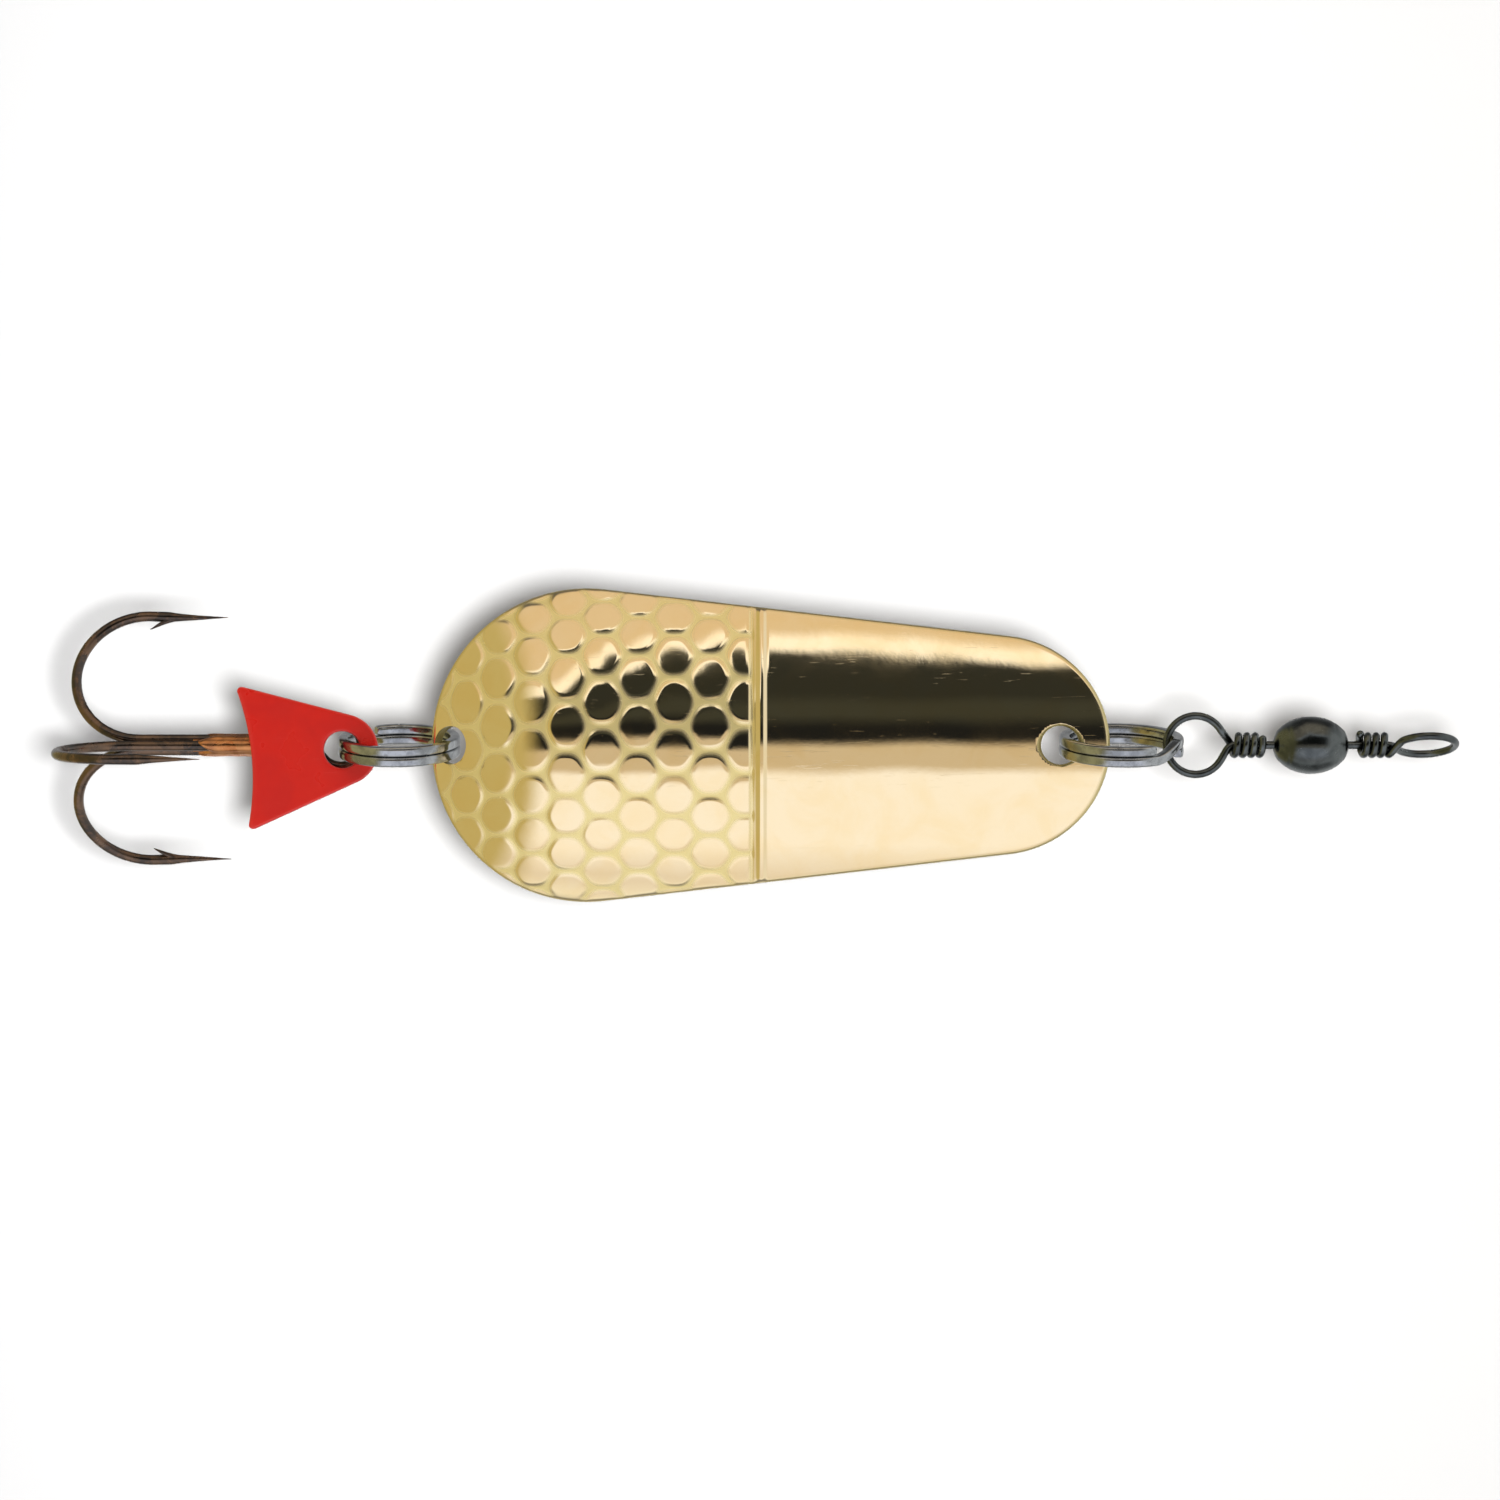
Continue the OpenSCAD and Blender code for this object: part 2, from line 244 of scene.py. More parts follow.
def tube(path, radii, sides, first=Y_AXIS, dome=5):
    """Closed round wire along a line, with rounded ends."""
    path = np.asarray(path, float)
    radii = np.broadcast_to(np.asarray(radii, float), len(path)).copy()
    heading = unit(np.gradient(path, axis=0))
    side = np.zeros_like(path)
    u = np.asarray(first, float)
    for i, t in enumerate(heading):
        u = u - np.dot(u, t) * t
        u = u / np.linalg.norm(u)
        side[i] = u
    across = np.cross(heading, side)
    angles = np.radians(np.linspace(0, 90, dome + 1))[:-1]

    def ends(i, way):
        return [(path[i] + way * radii[i] * math.sin(a) * heading[i], radii[i] * math.cos(a), i)
                for a in angles[1:]]

    body = [(path[i], radii[i], i) for i in range(len(path))]
    rings = ends(0, -1)[::-1] + body + ends(len(path) - 1, 1)
    b = np.radians(np.arange(sides) * 360 / sides)[:, None]
    points = [c + r * (np.cos(b) * side[i] + np.sin(b) * across[i]) for c, r, i in rings]
    poles = [path[0] - radii[0] * heading[0], path[-1] + radii[-1] * heading[-1]]
    points = np.concatenate(points + [np.array(poles)])
    faces = grid_faces(len(rings), sides)
    first_pole, last_pole, last_ring = len(points) - 2, len(points) - 1, (len(rings) - 1) * sides
    faces += [(first_pole, (k + 1) % sides, k) for k in range(sides)]
    faces += [(last_pole, last_ring + k, last_ring + (k + 1) % sides) for k in range(sides)]
    return points, faces


def lathe(profile, sides, shaped=None):
    """Closed skin round the Z axis. The profile is a closed loop of (radius, height); points at
    radius 0 become one pole when the mesh is cleaned. shaped gives the radii at each angle."""
    profile = np.asarray(profile, float)
    rows = []
    for k in range(sides):
        a = 2 * math.pi * k / sides
        r = profile[:, 0] if shaped is None else shaped(profile[:, 0], profile[:, 1], a)
        rows.append(np.stack([r * math.cos(a), r * math.sin(a), profile[:, 1]], 1))
    n = len(profile)
    faces = [(k * n + i, ((k + 1) % sides) * n + i, ((k + 1) % sides) * n + (i + 1) % n,
              k * n + (i + 1) % n) for k in range(sides) for i in range(n)]
    return np.concatenate(rows), faces


def lumps(p, size, seed):
    """A smooth bumpy value from -1 to 1 at a place, for bumps of about that size."""
    return noise.noise(Vector((p[0] / size + seed, p[1] / size, p[2] / size)))


def joined(*parts):
    """Several (points, faces) shapes as one."""
    points, faces, start = [], [], 0
    for p, f in parts:
        points.append(np.asarray(p, float))
        faces += [tuple(i + start for i in face) for face in f]
        start += len(p)
    return np.concatenate(points), faces


def clean_mesh(name, shape, marks=None):
    """A mesh from (points, faces) in millimetres, its poles merged and its faces turned out."""
    points, faces = shape
    mesh = bpy.data.meshes.new(name)
    mesh.from_pydata((np.asarray(points) * MM).tolist(), [], faces)
    for mark, values in (marks or {}).items():
        layer = mesh.attributes.new(mark, "FLOAT", "POINT")
        layer.data.foreach_set("value", np.asarray(values, np.float32))
    work = bmesh.new()
    work.from_mesh(mesh)
    bmesh.ops.remove_doubles(work, verts=work.verts, dist=SAME_PLACE)
    bmesh.ops.recalc_face_normals(work, faces=work.faces)
    work.to_mesh(mesh)
    work.free()
    return mesh


def new_object(name, data):
    """An object in the scene for a mesh, a lamp or a camera."""
    thing = bpy.data.objects.new(name, data)
    bpy.context.scene.collection.objects.link(thing)
    return thing


def make(name, shape, material, body, node, marks=None):
    """One piece of the lure from (points, faces) in millimetres."""
    mesh = clean_mesh(name, shape, marks)
    mesh.shade_smooth()
    mesh.set_sharp_from_angle(angle=rad(SHARP_ANGLE))
    piece = new_object(name, mesh)
    mesh.materials.append(material)
    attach(piece, body)
    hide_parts(node)
    return piece


# ---- helpers for materials ----

class Graph:
    """Adds nodes to a tree. Inputs are values or other nodes' outputs."""

    def __init__(self, tree):
        self.tree = tree
        tree.nodes.clear()

    def add(self, kind, inputs=None, **settings):
        n = self.tree.nodes.new(kind)
        for key, value in settings.items():
            setattr(n, key, value)
        for key, value in (inputs or {}).items():
            self.set(n.inputs[key], value)
        return n

    def set(self, socket, value):
        if isinstance(value, bpy.types.NodeSocket):
            self.tree.links.new(value, socket)
        else:
            socket.default_value = value

    def math(self, operation, a, b=0.0):
        return self.add("ShaderNodeMath", {0: a, 1: b}, operation=operation).outputs[0]

    def times(self, a, b):
        return self.math("MULTIPLY", a, b)

    def plus(self, a, b):
        return self.math("ADD", a, b)

    def mix(self, factor, a, b):
        """From colour a to colour b as the factor goes from 0 to 1."""
        n = self.add("ShaderNodeMix", data_type="RGBA")
        colours = [s for s in n.inputs if s.type == "RGBA"]
        self.set(n.inputs[0], factor)
        self.set(colours[0], a)
        self.set(colours[1], b)
        return [s for s in n.outputs if s.type == "RGBA"][0]

    def span(self, value, low, high, to_low=0.0, to_high=1.0):
        """Value from low..high brought to to_low..to_high, and held at the ends."""
        n = self.add("ShaderNodeMapRange", {0: value, 1: low, 2: high, 3: to_low, 4: to_high})
        n.interpolation_type = "SMOOTHSTEP"
        return n.outputs[0]

    def ramp(self, value, stops):
        n = self.add("ShaderNodeValToRGB", {0: value})
        e = n.color_ramp.elements
        for i, (at, colour) in enumerate(stops):
            item = e[i] if i < 2 else e.new(at)
            item.position = at
            item.color = colour
        return n.outputs[0]

    def place(self, stretch=(1, 1, 1)):
        """Object coordinates in millimetres, times a stretch."""
        at = self.add("ShaderNodeTexCoord").outputs["Object"]
        scale = [s / MM for s in stretch]
        return self.add("ShaderNodeMapping", {"Vector": at, "Scale": scale}).outputs[0]

    def noise(self, per_mm, detail=3.0, stretch=(1, 1, 1), rough=0.55, warp=0.0):
        n = self.add("ShaderNodeTexNoise", {"Vector": self.place(stretch), "Scale": per_mm,
                                            "Detail": detail, "Roughness": rough,
                                            "Distortion": warp})
        return n.outputs[0]

    def mark(self, name):
        return self.add("ShaderNodeAttribute", attribute_name=name).outputs["Fac"]

    def bump(self, height, microns, normal=None):
        inputs = {"Strength": 1.0, "Distance": microns * MICRON, "Height": height}
        if normal is not None:
            inputs["Normal"] = normal
        return self.add("ShaderNodeBump", inputs).outputs[0]


def rgb(r, g, b):
    return (r, g, b, 1.0)


def surface(name, build):
    """A material whose Principled inputs come from build(graph)."""
    m = bpy.data.materials.new(name)
    m.use_nodes = True
    g = Graph(m.node_tree)
    shader = g.add("ShaderNodeBsdfPrincipled", build(g))
    g.add("ShaderNodeOutputMaterial", {"Surface": shader.outputs[0]})
    return m


def gold_plate(g):
    """Bright plated brass: mottled tone, hairlines along the blade, matt yellow grooves, and a dark
    olive painted reflection of shade along the rim.
    """
    pale, deep, tarnish = rgb(1.0, 0.83, 0.52), rgb(0.99, 0.79, 0.45), rgb(0.85, 0.62, 0.30)
    in_groove, rim_painted_shade = rgb(0.92, 0.78, 0.32), rgb(0.45, 0.38, 0.10)
    groove = g.math("POWER", g.mark("groove"), 1.35)
    rim = g.mark("rim")
    cloud = g.noise(0.22, 4.0, warp=0.6)
    tone = g.mix(g.span(cloud, 0.35, 0.68), pale, deep)
    speck = g.span(g.noise(2.6, 5.0, rough=0.7), 0.62, 0.74)
    tone = g.mix(g.times(speck, 0.10), tone, tarnish)
    tone = g.mix(g.times(groove, 0.8), tone, in_groove)
    # painted reflection of shade: the rim is painted a darker olive, on top of its duller finish
    tone = g.mix(g.times(rim, 0.8), tone, rim_painted_shade)
    hair = g.noise(5.0, 2.0, stretch=(3.2, 3.2, 0.10))
    fine = g.noise(1.3, 3.0)
    scratch = g.span(g.noise(0.9, 1.0, stretch=(5.0, 5.0, 0.35), warp=1.5), 0.715, 0.745)
    rough = g.plus(g.span(cloud, 0.3, 0.75, 0.045, 0.10), g.times(groove, 0.24))
    rough = g.plus(rough, g.times(scratch, 0.12))
    rough = g.plus(rough, g.times(rim, 0.22))
    waves = g.bump(fine, 2.2, g.bump(g.noise(0.09, 1.0), 110.0))
    lines = g.bump(hair, 0.35, waves)
    cuts = g.bump(scratch, -0.8, lines)
    dull = g.math("MAXIMUM", g.times(groove, 0.6), g.times(rim, 0.45))
    metal = g.math("SUBTRACT", 1.0, dull)
    return {"Base Color": tone, "Metallic": metal, "Roughness": rough, "Normal": cuts}


def nickel(g):
    """Nickel plate on drawn spring wire: cloudy tone, grey dirt in patches, fine grain."""
    pale, deep, dirt = rgb(0.44, 0.46, 0.47), rgb(0.27, 0.285, 0.295), rgb(0.13, 0.13, 0.135)
    cloud = g.noise(0.8, 4.0)
    grime = g.span(g.noise(1.7, 5.0, rough=0.7), 0.52, 0.72)
    tone = g.mix(g.span(cloud, 0.35, 0.65), pale, deep)
    tone = g.mix(g.times(grime, 0.45), tone, dirt)
    rough = g.plus(g.span(cloud, 0.3, 0.7, 0.10, 0.2), g.times(grime, 0.18))
    waves = g.bump(g.noise(2.4, 3.0), 5.0)
    grain = g.bump(g.noise(14.0, 2.0), 0.5, waves)
    return {"Base Color": tone, "Metallic": 1.0, "Roughness": rough, "Normal": grain}


def red_plastic(g):
    """Moulded gloss plastic: slow colour drift, orange peel, a few rubbed hairlines."""
    bright, deep, flow_red = rgb(0.78, 0.011, 0.004), rgb(0.71, 0.008, 0.003), rgb(0.76, 0.02, 0.009)
    rubbed, at_edge = rgb(0.9, 0.10, 0.08), rgb(0.86, 0.07, 0.05)
    drift = g.noise(0.25, 3.0)
    flow = g.noise(0.8, 3.0, stretch=(1.0, 1.0, 0.3), warp=0.8)
    tone = g.mix(g.span(drift, 0.35, 0.65), bright, deep)
    tone = g.mix(g.span(flow, 0.40, 0.75, 0.0, 0.2), tone, flow_red)
    rub = g.span(g.noise(1.1, 2.0, stretch=(4.0, 4.0, 0.3), warp=0.6), 0.70, 0.76)
    tone = g.mix(g.times(rub, 0.2), tone, rubbed)
    tone = g.mix(g.times(g.mark("edge"), 0.3), tone, at_edge)
    rough = g.plus(g.span(drift, 0.3, 0.7, 0.26, 0.36), g.times(rub, 0.25))
    peel = g.bump(g.noise(3.0, 2.0), 5.0)
    marks = g.bump(rub, -2.0, g.bump(g.noise(20.0, 2.0), 0.6, peel))
    return {"Base Color": tone, "Roughness": rough, "Normal": marks, "IOR": 1.49,
            "Subsurface Weight": 0.08, "Subsurface Scale": 0.0008,
            "Subsurface Radius": (1.0, 0.2, 0.1), "Coat Weight": 0.25, "Coat Roughness": 0.18}


def bronzed_steel(g):
    """Bronze lacquer on hook wire: brown over near black, worn specks."""
    black, brown, copper = rgb(0.06, 0.05, 0.043), rgb(0.17, 0.11, 0.072), rgb(0.27, 0.155, 0.085)
    bare = rgb(0.46, 0.36, 0.27)
    patch = g.noise(0.32, 4.0, warp=0.7)
    fine = g.noise(2.4, 5.0, rough=0.7)
    tone = g.mix(g.span(patch, 0.40, 0.60), black, brown)
    tone = g.mix(g.span(fine, 0.45, 0.75, 0.0, 0.6), tone, copper)
    worn = g.span(g.noise(3.2, 5.0, rough=0.75), 0.70, 0.78)
    tone = g.mix(g.times(worn, 0.5), tone, bare)
    rough = g.plus(g.span(patch, 0.3, 0.7, 0.20, 0.33), g.times(worn, 0.15))
    skin = g.bump(fine, 4.0, g.bump(g.noise(0.9, 2.0), 12.0))
    return {"Base Color": tone, "Metallic": 1.0, "Roughness": rough, "Normal": skin,
            "Coat Weight": 0.35, "Coat Roughness": 0.15}


def braze_metal(g):
    """Brazing brass: orange brown, heat tints in bands along the shank, pitted skin."""
    orange, gold, tint = rgb(0.54, 0.21, 0.075), rgb(0.70, 0.32, 0.125), rgb(0.34, 0.15, 0.08)
    black = rgb(0.12, 0.075, 0.05)
    patch = g.noise(0.7, 4.0, warp=0.8)
    bands = g.noise(0.5, 3.0, stretch=(0.3, 0.3, 1.4))
    tone = g.mix(g.span(patch, 0.36, 0.64), orange, gold)
    tone = g.mix(g.span(bands, 0.5, 0.72, 0.0, 0.65), tone, tint)
    soot = g.span(g.noise(3.0, 5.0, rough=0.7), 0.58, 0.76)
    tone = g.mix(g.times(soot, 0.6), tone, black)
    rough = g.plus(g.span(patch, 0.3, 0.7, 0.2, 0.36), g.times(soot, 0.2))
    skin = g.bump(g.noise(7.0, 3.0), 4.0, g.bump(g.noise(1.6, 3.0), 22.0))
    return {"Base Color": tone, "Metallic": 1.0, "Roughness": rough, "Normal": skin}


def black_nickel(g):
    """Black nickel plate: green grey, with brighter metal rubbed through in small patches."""
    dark, pale, bare = rgb(0.075, 0.085, 0.085), rgb(0.135, 0.15, 0.148), rgb(0.36, 0.37, 0.37)
    cloud = g.noise(0.55, 4.0, warp=0.5)
    tone = g.mix(g.span(cloud, 0.36, 0.64), dark, pale)
    rub = g.span(g.noise(2.8, 5.0, rough=0.75), 0.63, 0.75)
    tone = g.mix(g.times(rub, 0.55), tone, bare)
    rough = g.plus(g.span(cloud, 0.3, 0.7, 0.17, 0.28), g.times(rub, 0.12))
    waves = g.bump(g.noise(1.4, 3.0), 9.0)
    grain = g.bump(g.noise(11.0, 3.0), 1.4, waves)
    return {"Base Color": tone, "Metallic": 1.0, "Roughness": rough, "Normal": grain}


def backdrop_paper(g):
    """Matt white paper that glows with painted light, but for a duller part behind the lure that has
    no glow.
    """
    dull, duller, white = rgb(0.31, 0.31, 0.31), rgb(0.30, 0.30, 0.30), rgb(0.8, 0.8, 0.8)
    side_from, side_to, foot_from, foot_to, glow = 158.0, 200.0, -208.0, -232.0, 0.33
    cloud = g.noise(0.004, 3.0)
    spot = g.add("ShaderNodeSeparateXYZ", {0: g.place()})
    sideways, height = g.math("ABSOLUTE", spot.outputs[0]), spot.outputs[2]
    painted_glow_part = g.math("MAXIMUM", g.span(sideways, side_from, side_to),
                 g.span(height, foot_from, foot_to))
    tone = g.mix(painted_glow_part, g.mix(g.span(cloud, 0.3, 0.7), dull, duller), white)
    return {"Base Color": tone, "Roughness": 0.9, "Specular IOR Level": 0.1,
            # painted light: outside the duller part the paper glows, which stands in for lamp light
            "Emission Color": rgb(1.0, 1.0, 1.0), "Emission Strength": g.times(painted_glow_part, glow),
            "Normal": g.bump(g.noise(0.5, 2.0), 20.0)}


# ---- blade ----

LEAN_IN = math.asin((TAIL_R - NOSE_R) / (BLADE_LEN - TAIL_R - NOSE_R))


def half_width(s):
    """Half the outline's width at a distance from the nose: two circles and their tangents."""
    a = NOSE_R * (1 - math.sin(LEAN_IN))
    b = BLADE_LEN - TAIL_R * (1 + math.sin(LEAN_IN))
    nose = np.sqrt(np.maximum(0, NOSE_R ** 2 - (NOSE_R - s) ** 2))
    tail = np.sqrt(np.maximum(0, TAIL_R ** 2 - (s - BLADE_LEN + TAIL_R) ** 2))
    side = (NOSE_R + (s - NOSE_R) * math.sin(LEAN_IN)) / math.cos(LEAN_IN)
    return np.where(s < a, nose, np.where(s > b, tail, side))


def edge_distance(x, s):
    """How far a place on the sheet is from the outline."""
    gap = BLADE_LEN - TAIL_R - NOSE_R
    along, across = s - NOSE_R, np.abs(x)
    sin_l, cos_l = math.sin(LEAN_IN), math.cos(LEAN_IN)
    k = along * cos_l + across * sin_l
    nose = NOSE_R - np.hypot(across, along)
    tail = TAIL_R - np.hypot(across, along - gap)
    side = NOSE_R - (across * cos_l - along * sin_l)
    return np.where(k < 0, nose, np.where(k > gap * cos_l, tail, side))


def cup_in(s):
    """How far a place is into the part that is also bent along the blade."""
    return np.maximum(0, s - BLADE_LEN + CUP_LEN)


def face_y(x, s):
    """Height of the plain front face."""
    across = CROSS_R - np.sqrt(CROSS_R ** 2 - x ** 2)
    along = CUP_R - np.sqrt(CUP_R ** 2 - cup_in(s) ** 2)
    return across + along - BLADE_T / 2


def into(x, s):
    """Direction into the sheet from its front face."""
    slope = cup_in(s) / np.sqrt(CUP_R ** 2 - cup_in(s) ** 2)
    v = np.stack([-x / np.sqrt(CROSS_R ** 2 - x ** 2), np.ones_like(x), slope], -1)
    return unit(v)


def developed(s):
    """Distance from the nose measured along the curved sheet."""
    cup = cup_in(s)
    return s - cup + CUP_R * np.arcsin(cup / CUP_R)


def nearest_pad(q, v, pitch):
    """Offsets from the nearest pad's middle, and the row and column that it is in."""
    best = None
    for shift in (0, 1):
        col = 2 * np.round((v - shift * PAD_STEP) / (2 * PAD_STEP)) + shift
        row = np.round(q / pitch - 0.5 * shift) + 0.5 * shift
        dq, dv = q - row * pitch, v - col * PAD_STEP
        found = [np.hypot(dq, dv), dq, dv, row, col]
        if best is None:
            best = found
        else:
            near = found[0] < best[0]
            best = [np.where(near, new, old) for new, old in zip(found, best)]
    return best[1:]


def chance(row, col):
    """A fixed value from 0 to 1 for each pad, scattered from pad to pad."""
    wave = np.sin(row * 12.99 + col * 78.23) * 43758.5453
    return wave - np.floor(wave)


def pad_relief(x, s):
    """Height of the stamped pads, and how much of a groove each place is."""
    pitch = PAD_STEP * 2 / math.sqrt(3)
    off = x - PAD_SHIFT
    closer = 1 + PAD_SKEW * off + PAD_CROWDING * np.minimum(off, 0) ** 2
    q = off / PAD_PITCH * closer * pitch
    v = developed(s) - BEAD_AT - FIRST_COLUMN
    dq, dv, row, col = nearest_pad(q, v, pitch)
    half = pitch / 2
    walls = [np.abs(dq), np.abs(dq / 2 + dv * math.sqrt(3) / 2),
             np.abs(dq / 2 - dv * math.sqrt(3) / 2)]
    reach = sum((w / half) ** PAD_SQUARE for w in walls) ** (1 / PAD_SQUARE) * half
    lift = smooth((half - reach) / GROOVE_HALF)
    dome = PAD_DOME * (1 - (reach / half) ** 2)
    spin = 2 * math.pi * chance(row, col)
    lean = (np.cos(spin) * dq + np.sin(spin) * dv) * PAD_TILT * lift
    return GROOVE_DEEP * (lift - 1) + lean + dome, 1 - lift


def blade_relief(x, s):
    """Height of the stamping over the plain face, and the groove mark."""
    from_bead = s - BEAD_AT
    pads, groove = pad_relief(x, s)
    on_pads = smooth((from_bead - BEAD_HALF) / PAD_FADE)
    step = hump(from_bead - BEAD_HALF, STEP_AT, STEP_HALF)
    ridge = np.where(np.abs(from_bead) < BEAD_HALF,
                     np.cos(from_bead / BEAD_HALF * math.pi / 2) ** 2, 0)
    height = pads * on_pads + BEAD_HIGH * ridge - STEP_DEEP * step
    mark = np.maximum(groove * on_pads, STEP_MARK * step)
    near_edge = smooth(edge_distance(x, s) / EDGE_FADE)
    return height * near_edge, mark * near_edge


def blade_rows():
    """Distances from the nose of the blade's rows of points, close where there is detail."""
    plain_row, bead_row, pad_row = 0.35, 0.07, 0.115
    round_end, nose_row, tail_row = 70, 1.5, 0.55        # degrees round the two end circles
    bead_from, bead_to = BEAD_AT - 0.9, BEAD_AT + 1.6
    nose = NOSE_R * (1 - np.cos(np.radians(np.arange(0.4, round_end, nose_row))))
    tail = BLADE_LEN - TAIL_R * (1 - np.cos(np.radians(np.arange(round_end, 0.3, -tail_row))))
    plain = np.arange(nose[-1] + 0.3, bead_from - 0.1, plain_row)
    bead = np.arange(bead_from, bead_to, bead_row)
    pads = np.arange(bead_to + 0.05, tail[0] - 0.06, pad_row)
    return np.concatenate([nose, plain, bead, pads, tail])


def blade_columns(w):
    """Sideways places of each row's points, for rows of these half widths."""
    inner_count, rim_count, rim_turn = 225, 7, 77
    band = np.minimum(RIM_BAND, 0.3 * w)
    inner = np.linspace(-1, 1, inner_count)[None, :]
    rim = 1 - np.cos(np.radians(np.linspace(rim_turn, 0, rim_count)))[None, :]
    right = w - band * rim
    return np.concatenate([-right[:, ::-1], inner * (w - band), right], 1)


def sheet_faces(rows, cols):
    """Front faces, back faces and the strip round the edge that joins them."""
    n = rows * cols
    faces = [tuple(reversed(f)) for f in grid_faces(rows, cols, 0, False)]
    faces += grid_faces(rows, cols, n, False)
    for r in range(rows - 1):
        a, b = r * cols, (r + 1) * cols
        faces.append((a, a + n, b + n, b))
        faces.append((a + cols - 1, b + cols - 1, b + cols - 1 + n, a + cols - 1 + n))
    end = (rows - 1) * cols
    for c in range(cols - 1):
        faces.append((c, c + 1, c + 1 + n, c + n))
        faces.append((end + c, end + c + n, end + c + 1 + n, end + c + 1))
    return faces


def blade_skin(nose_z):
    """The whole sheet as a closed grid with a rounded edge, and its marks."""
    s = blade_rows()[:, None]
    x = blade_columns(half_width(s))
    s = np.broadcast_to(s, x.shape)
    from_edge = edge_distance(x, s)
    d = np.clip(from_edge, 0, EDGE_ROUND)
    round_in = EDGE_ROUND - np.sqrt(EDGE_ROUND ** 2 - (EDGE_ROUND - d) ** 2)
    height, groove = blade_relief(x, s)
    direction = into(x, s)
    base = np.stack([x * EDGE_LEAN, face_y(x, s), nose_z - s], -1)
    front = base + direction * (round_in - height)[..., None]
    back = base + direction * (BLADE_T - round_in - height * BACK_RELIEF)[..., None]
    points = np.concatenate([front.reshape(-1, 3), back.reshape(-1, 3)])
    rim = smooth(1 - from_edge / RIM_WIDE).ravel()
    marks = {"groove": np.concatenate([groove.ravel(), 0.5 * groove.ravel()]),
             "rim": np.concatenate([rim, rim])}
    return (points, sheet_faces(*x.shape)), marks


def hole_cutter(name, centre, tilt, rim):
    """A drill with flared rims, its middle at the sheet's mid plane."""
    half, sides = BLADE_T / 2, 96
    flare_turn, mouth_wide, mouth_up = 80, 0.35, 0.25
    a = np.radians(np.linspace(0, flare_turn, 9))
    flare = np.stack([HOLE_R + rim * (1 - np.cos(a)), half - rim + rim * np.sin(a)], 1)
    mouth_r = flare[-1, 0] + mouth_wide
    mouth = np.array([[mouth_r, half + mouth_up], [mouth_r, 3 * half]])
    upper = np.concatenate([flare, mouth])
    profile = np.concatenate([upper[::-1], upper * [1, -1]])
    points, faces = lathe(np.concatenate([[[0, 3 * half]], profile, [[0, -3 * half]]]), sides)
    return new_object(name, clean_mesh(name, (turn_x(points, 90 + tilt) + centre, faces)))


def cut_holes(piece, cutters):
    """Drills the piece, and takes the drills away again."""
    for cutter in cutters:
        drill = piece.modifiers.new(cutter.name, "BOOLEAN")
        drill.operation = "DIFFERENCE"
        drill.solver = "EXACT"
        drill.object = cutter
    bpy.context.view_layer.update()
    graph = bpy.context.evaluated_depsgraph_get()
    cut = bpy.data.meshes.new_from_object(piece.evaluated_get(graph), depsgraph=graph)
    piece.modifiers.clear()
    piece.data = cut
    cut.set_sharp_from_angle(angle=rad(SHARP_ANGLE))
    for cutter in cutters:
        bpy.data.objects.remove(cutter)


def spoon_blade(material):
    """The dished sheet with its stamping and its two holes."""
    nose_z = box_mm("spoon_blade")[1][2] + NOSE_PAST
    shape, marks = blade_skin(nose_z)
    piece = make("blade_shell", shape, material, "blade", "spoon_blade",
                 marks=marks)
    tail_s = np.array(BLADE_LEN - TAIL_HOLE_IN)
    slope = math.degrees(math.asin(float(cup_in(tail_s)) / CUP_R))
    tail_y = float(face_y(np.array(0.0), tail_s)) + BLADE_T / 2
    nose_hole, tail_hole = (0, 0, nose_z - NOSE_HOLE_IN), (0, tail_y, nose_z - float(tail_s))
    cut_holes(piece, [hole_cutter("nose_drill", nose_hole, 0, NOSE_FLARE),
                      hole_cutter("tail_drill", tail_hole, slope, TAIL_FLARE)])


# ---- split rings ----

def split_ring(node, start):
    """Two flat coils of wire that cross over in one short step, begun at the start angle."""
    sides, steps = 28, 300
    end_size, end_degrees = 0.72, 5.0
    mid_r = (RING_OD - RING_WIRE) / 2
    b = np.radians(360 * (np.arange(sides) + 0.5) / sides)
    corners = np.abs(np.cos(b)) ** WIRE_SQUARE + np.abs(np.sin(b)) ** WIRE_SQUARE
    round_off = corners ** (-1 / WIRE_SQUARE)
    wide, tall = RING_WIRE / 2 * np.cos(b) * round_off, COIL_T / 2 * np.sin(b) * round_off
    flat = np.zeros(sides)
    loops = []
    for a in np.linspace(0, WIRE_LENGTH, steps):
        x = (COIL_T + COIL_GAP) * (float(smooth((a - 360 + CROSSING) / CROSSING)) - 0.5)
        turn = rad(a + start)
        out = np.array([0, math.cos(turn), math.sin(turn)])
        from_end = min(a, WIRE_LENGTH - a)
        slim = end_size + (1 - end_size) * math.sqrt(min(1.0, from_end / end_degrees))
        loops.append((mid_r + slim * wide)[:, None] * out + np.stack([x + slim * tall, flat, flat], 1))
    points = np.concatenate(loops + [loops[0].mean(0)[None], loops[-1].mean(0)[None]])
    n, last = len(points), (len(loops) - 1) * sides
    faces = [tuple(reversed(f)) for f in grid_faces(len(loops), sides)]
    faces += [(n - 2, k, (k + 1) % sides) for k in range(sides)]
    faces += [(n - 1, last + (k + 1) % sides, last + k) for k in range(sides)]
    return turn_z(points, RING_YAW) + centre_mm(node) * [0, 1, 1], faces


def ring_piece(name, node, material, body, start):
    return make(name, split_ring(node, start), material, body, node)


# ---- swivel ----

NECK_Z = EYE_R / math.sin(rad(NECK_ANGLE))


